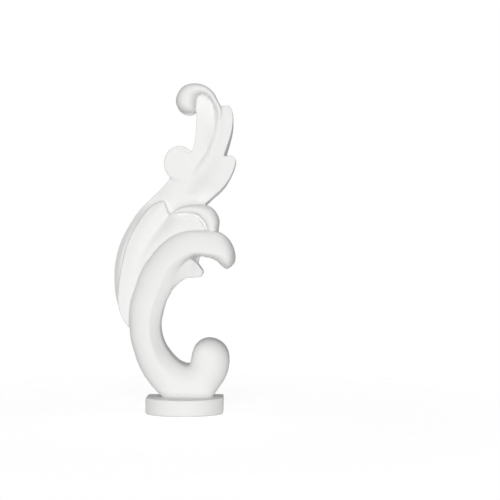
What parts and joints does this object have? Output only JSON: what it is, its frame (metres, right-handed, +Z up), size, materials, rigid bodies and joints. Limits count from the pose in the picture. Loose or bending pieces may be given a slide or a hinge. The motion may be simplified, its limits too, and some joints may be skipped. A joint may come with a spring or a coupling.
{
  "type": "moulding end ornament",
  "caption": "Carved acanthus scroll ornament with a C-scroll, a leaf calyx and a leafy head on a small round-fronted base, flat behind, for the end of a moulding.",
  "frame": {"origin": "on the underside of the base, on its centre line, 14 mm in front of the flat back", "axes": "+Z up the ornament, -Y out of the wall towards the viewer, +X to the viewer's right"},
  "size_m": [0.113, 0.05, 0.3012],
  "materials": {
    "primed_white": "primed white, matt, smooth as cast"
  },
  "bodies": {
    "root": {"ornament": "primed_white"}
  },
  "joints": []
}
